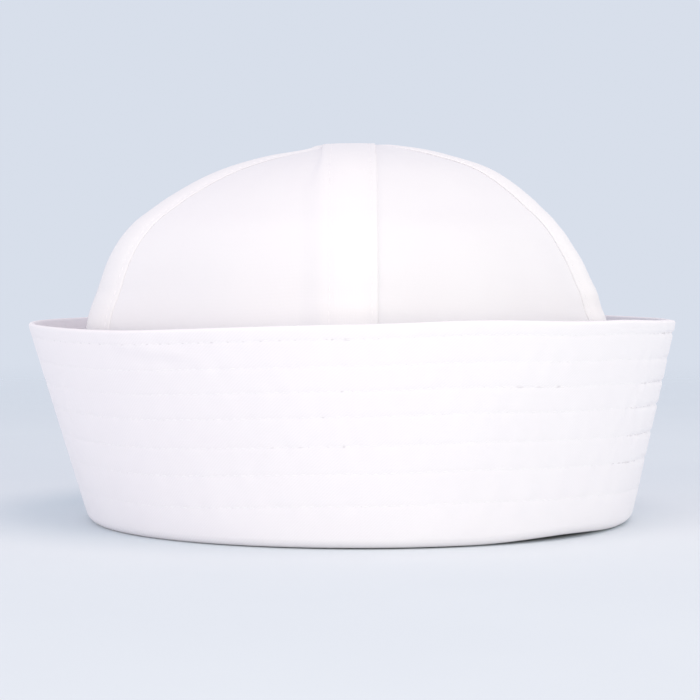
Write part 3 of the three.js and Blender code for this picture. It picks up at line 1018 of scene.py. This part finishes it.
def set_inputs(node, inputs):
    """Put numbers and colours on a node's own sockets, and link other nodes' outputs to them."""
    for key, value in inputs.items():
        if isinstance(value, bpy.types.NodeSocket):
            node.id_data.links.new(value, node.inputs[key])
        else:
            node.inputs[key].default_value = value


def add_node(tree, kind, inputs, **settings):
    """A shader node with its settings and inputs."""
    node = tree.nodes.new(kind)
    for key, value in settings.items():
        setattr(node, key, value)
    set_inputs(node, inputs)
    return node


def thread_wave(tree, place, direction, pitch, waver):
    """Threads: bands a pitch apart, in the units of the place."""
    turn = DIAGONAL_TURN if direction == "DIAGONAL" else WAVE_TURN
    inputs = {"Vector": place, "Scale": turn / pitch, "Distortion": waver, "Detail": 1, "Detail Scale": 0.6}
    wave = add_node(tree, "ShaderNodeTexWave", inputs, wave_type="BANDS", bands_direction=direction)
    return wave.outputs["Fac"]


def noise(tree, place, scale, detail):
    inputs = {"Vector": place, "Scale": scale, "Detail": detail}
    return add_node(tree, "ShaderNodeTexNoise", inputs).outputs["Fac"]


def attribute(tree, name):
    return add_node(tree, "ShaderNodeAttribute", {}, attribute_name=name).outputs["Fac"]


def object_place(tree):
    return add_node(tree, "ShaderNodeTexCoord", {}).outputs["Object"]


def mixed(tree, factor, first, second, blend="MIX"):
    """Two colours blended, each a colour or another node's output."""
    inputs = {"Factor": factor, MIX_FIRST: first, MIX_SECOND: second}
    mix = add_node(tree, "ShaderNodeMix", inputs, data_type="RGBA", blend_type=blend)
    return mix.outputs[MIX_RESULT]


def remapped(tree, value, at_none, at_full):
    """A value from 0 to 1, mapped to a range."""
    inputs = {"Value": value, "To Min": at_none, "To Max": at_full}
    return add_node(tree, "ShaderNodeMapRange", inputs).outputs["Result"]


def combined(tree, operation, first, second):
    return add_node(tree, "ShaderNodeMath", {0: first, 1: second}, operation=operation).outputs["Value"]


def cloth_material(name, white, weave):
    """Woven cotton, faintly uneven in tone, with painted shade between its threads, and whiter where it lies
    double.
    """
    material, tree, shader = new_material(name)
    place = add_node(tree, "ShaderNodeUVMap", {}, uv_map="weave").outputs["UV"]
    threads = weave(tree, place)
    cloudy = noise(tree, place, scale=0.045, detail=3)
    slubs = noise(tree, place, scale=1.1, detail=2)
    colour = mixed(tree, cloudy, white.light, white.shade)
    if white.doubled:
        colour = mixed(tree, attribute(tree, "ply"), colour, white.doubled)
    # Painted shade between the threads of the weave
    tone = remapped(tree, threads, white.between_threads, 1)
    height = combined(tree, "ADD", threads, remapped(tree, slubs, at_none=0, at_full=0.8))
    bump = {"Strength": 0.2, "Distance": THREAD_RELIEF * MM, "Height": height}
    set_inputs(shader, {
        "Base Color": mixed(tree, 1, colour, tone, "MULTIPLY"),
        "Roughness": remapped(tree, threads, at_none=0.95, at_full=0.84),
        "Normal": add_node(tree, "ShaderNodeBump", bump).outputs["Normal"],
        **COTTON})
    return material


def twill(tree, place):
    """Diagonal ribs crossed by a finer weft."""
    ribs = thread_wave(tree, place, "DIAGONAL", pitch=1.05, waver=0.4)
    weft = thread_wave(tree, place, "Y", pitch=0.45, waver=0.3)
    return combined(tree, "MULTIPLY", remapped(tree, ribs, 0.35, 1), remapped(tree, weft, 0.6, 1))


def plain_weave(tree, place):
    """Warp and weft, one over one."""
    warp = thread_wave(tree, place, "X", pitch=0.45, waver=0.5)
    weft = thread_wave(tree, place, "Y", pitch=0.45, waver=0.5)
    return combined(tree, "MULTIPLY", remapped(tree, warp, 0.5, 1), remapped(tree, weft, 0.5, 1))


def thread_material():
    """White sewing thread with the twist of its strands."""
    material, tree, shader = new_material("sewing thread")
    strands = thread_wave(tree, object_place(tree), "DIAGONAL", pitch=STRAND_PITCH * MM, waver=0)
    set_inputs(shader, {
        "Base Color": mixed(tree, strands, THREAD_WHITE.shade, THREAD_WHITE.light),
        "Roughness": remapped(tree, strands, at_none=0.8, at_full=0.65),
        "Sheen Weight": 0.1})
    return material


def painted_shade_mark_material():
    """Painted shade of the dark marks for needle holes, pulled stitches and creases: darkest at each mark's
    middle and as pale as the cloth at its edge.
    """
    material, tree, shader = new_material("painted shade marks")
    colour = mixed(tree, attribute(tree, "ply"), MARK_PAINTED_SHADE.edge, MARK_PAINTED_SHADE.deepest)
    set_inputs(shader, {"Base Color": colour, **MATT})
    return material


# Stage

FLOOR = Values(
    fades=0.42, radius=1.3, sides=64, shade=(0.727, 0.772, 0.815, 1), light=(0.760, 0.805, 0.840, 1))
CAMERA = Values(side=-0.0005, distance=0.900, height=0.090, sensor=36, sees_from=0.01)
PICTURE_SIZE = 700
FOCAL_PIXELS = 2670
HORIZON_ROW = 250
LIGHT_SIZE = 1.0
LIGHT_AIM = (0, 0, 0.06)
LIGHTS = (
    Values(name="left", place=(-1.28, -1.11, 0.208), power=11.4, colour=(1.0, 0.888, 0.750)),
    Values(name="front", place=(1.04, -1.34, 0.208), power=13.3, colour=(1.0, 0.959, 0.744)),
    Values(name="top", place=(0.33, -0.4, 1.62), power=7.3, colour=(1.0, 0.74, 0.63)),
)
SOFT_ROOM = {"Color": (0.826, 0.888, 1.0, 1), "Strength": 0.83}


def floor_material():
    """Pale matt floor that fades out towards its edge."""
    material, tree, shader = new_material("pale floor")
    place = object_place(tree)
    grain = noise(tree, place, scale=9, detail=3)
    distance = add_node(tree, "ShaderNodeVectorMath", {0: place}, operation="LENGTH").outputs["Value"]
    fade = {"Value": distance, "From Min": FLOOR.fades, "From Max": FLOOR.radius, "To Min": 1, "To Max": 0}
    solid = add_node(tree, "ShaderNodeMapRange", fade, interpolation_type="SMOOTHSTEP")
    set_inputs(shader, {
        "Base Color": mixed(tree, grain, FLOOR.shade, FLOOR.light),
        "Alpha": solid.outputs["Result"],
        **MATT})
    return material


def make_floor():
    turn = 2 * math.pi * np.arange(FLOOR.sides) / FLOOR.sides
    ring = np.stack([np.cos(turn), np.sin(turn), 0 * turn], axis=-1) * FLOOR.radius
    mesh = bpy.data.meshes.new("floor")
    mesh.from_pydata(ring.tolist(), [], [list(range(FLOOR.sides))])
    mesh.materials.append(floor_material())
    new_object("floor", mesh)


def make_camera():
    data = bpy.data.cameras.new("camera")
    data.sensor_width = CAMERA.sensor
    data.lens = CAMERA.sensor * FOCAL_PIXELS / PICTURE_SIZE
    data.clip_start = CAMERA.sees_from
    camera = new_object("camera", data)
    camera.location = (CAMERA.side, -CAMERA.distance, CAMERA.height)
    pitch = math.atan((PICTURE_SIZE / 2 - HORIZON_ROW) / FOCAL_PIXELS)
    camera.rotation_euler = (math.pi / 2 - pitch, 0, 0)
    bpy.context.scene.camera = camera


def make_light():
    for lamp in LIGHTS:
        data = bpy.data.lights.new(lamp.name, "AREA")
        data.shape = "SQUARE"
        data.size = LIGHT_SIZE
        data.energy = lamp.power
        data.color = lamp.colour
        light = new_object(lamp.name, data)
        light.location = lamp.place
        towards = Vector(LIGHT_AIM) - Vector(lamp.place)
        light.rotation_euler = towards.to_track_quat("-Z", "Y").to_euler()
    world = bpy.data.worlds.new("soft room")
    world.use_nodes = True
    set_inputs(world.node_tree.nodes["Background"], SOFT_ROOM)
    bpy.context.scene.world = world
    bpy.context.scene.view_settings.view_transform = "Standard"


# The scene

make_camera()
make_light()
make_floor()

twill_cloth = cloth_material("brim twill", BRIM_WHITE, twill)
cotton_cloth = cloth_material("crown cotton", CROWN_WHITE, plain_weave)
thread = thread_material()

brim = make_brim(twill_cloth)
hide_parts("brim")
make_brim_stitches("brim_stitching_outside", thread, inside=False)
make_brim_stitches("brim_stitching_inside", thread, inside=True)
make_painted_shade_marks(painted_shade_mark_material())

seam_rows = []
for gore in GORES:
    surface = gore_surface(gore)
    make_gore(gore, surface, cotton_cloth)
    seam_rows += [stitches_along(*path) for path in seam_paths(gore, surface)]
seam_points, seam_quads = joined(seam_rows)
add_mesh("crown_seam_stitching", seam_points, seam_quads, thread)
